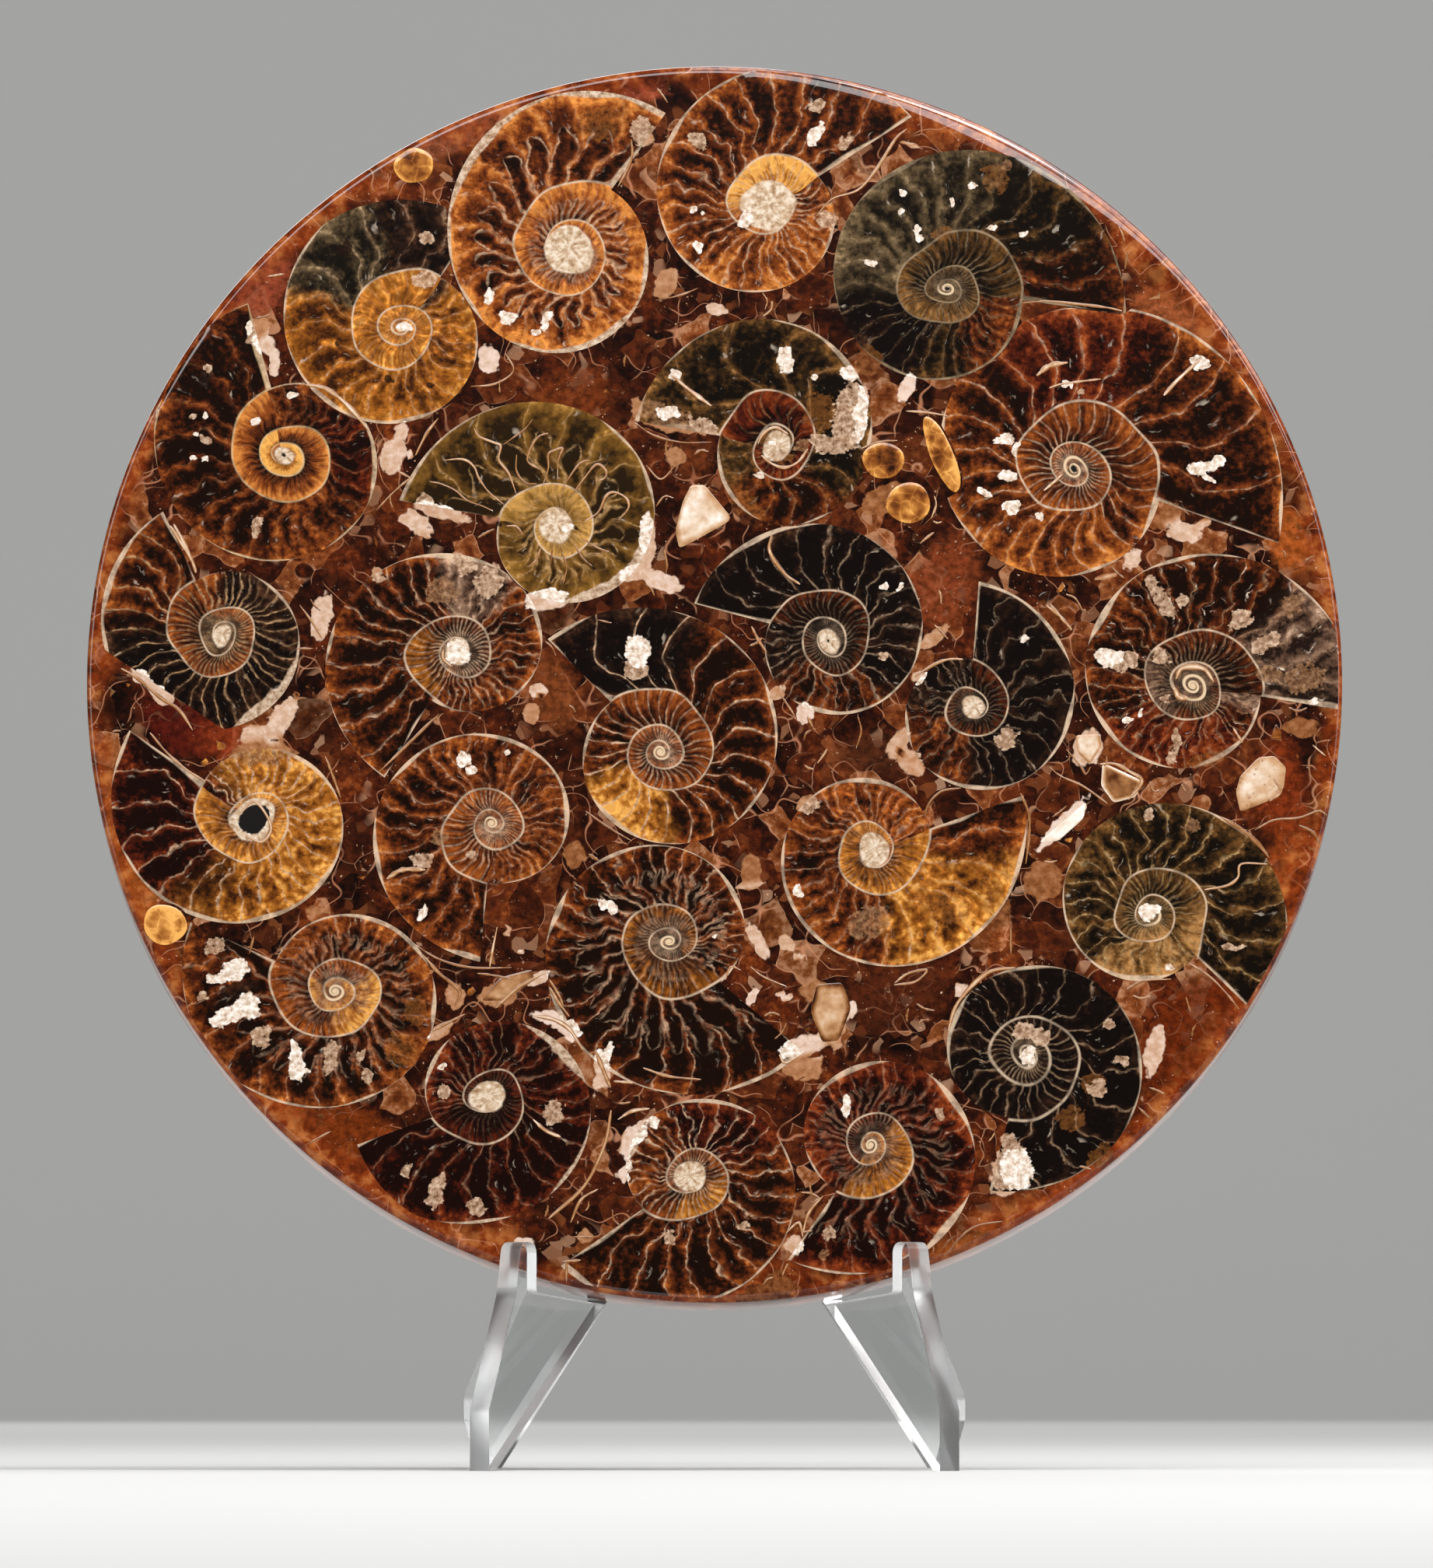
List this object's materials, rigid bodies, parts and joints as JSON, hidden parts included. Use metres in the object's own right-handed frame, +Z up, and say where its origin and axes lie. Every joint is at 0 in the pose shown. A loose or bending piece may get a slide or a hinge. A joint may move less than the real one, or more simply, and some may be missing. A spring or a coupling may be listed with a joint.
{
  "type": "ammonite fossil disc",
  "caption": "Polished round slab of reddish-amber resin matrix with sliced ammonites set flush in its face, leaning on a clear easel of crossing acrylic plates, for display",
  "frame": {"origin": "on the floor, under the middle of the model's bounding box", "axes": "+X to the right of somebody facing the disc, +Y away from them behind the disc, +Z up; the face looks towards -Y and leans back by 8 degrees"},
  "size_m": [0.15, 0.0726, 0.1684],
  "materials": {
    "resin_matrix": "polished resin full of crushed fossil",
    "fossil_amber": "polished golden calcite",
    "fossil_brown": "polished brown calcite",
    "fossil_dark": "polished dark chambers",
    "fossil_olive": "polished olive chambers",
    "shell": "polished cream shell",
    "amber": "polished amber pebble",
    "clear_acrylic": "clear, polished edges"
  },
  "bodies": {
    "root": {"matrix": "resin_matrix", "ammonite_01": "fossil_amber", "ammonite_02": "fossil_brown", "ammonite_03": "fossil_olive", "ammonite_04": "fossil_amber", "ammonite_05": "fossil_dark", "ammonite_06": "fossil_olive", "ammonite_07": "fossil_brown", "ammonite_08": "fossil_olive", "ammonite_09": "fossil_dark", "ammonite_10": "fossil_brown", "ammonite_11": "fossil_dark", "ammonite_12": "fossil_dark", "ammonite_13": "fossil_dark", "ammonite_14": "fossil_dark", "ammonite_15": "fossil_amber", "ammonite_16": "fossil_brown", "ammonite_17": "fossil_amber", "ammonite_18": "fossil_olive", "ammonite_19": "fossil_brown", "ammonite_20": "fossil_brown", "ammonite_21": "fossil_dark", "ammonite_22": "fossil_dark", "ammonite_23": "fossil_brown", "ammonite_24": "fossil_brown", "shell_chip_1": "shell", "shell_chip_2": "shell", "shell_chip_3": "shell", "shell_chip_4": "shell", "shell_chip_5": "shell", "shell_chip_6": "shell", "shell_chip_7": "shell", "amber_pebble_1": "amber", "amber_pebble_2": "amber", "amber_pebble_3": "amber", "amber_pebble_4": "amber", "amber_pebble_5": "amber", "stand_plate_1": "clear_acrylic", "stand_plate_2": "clear_acrylic"}
  },
  "joints": []
}
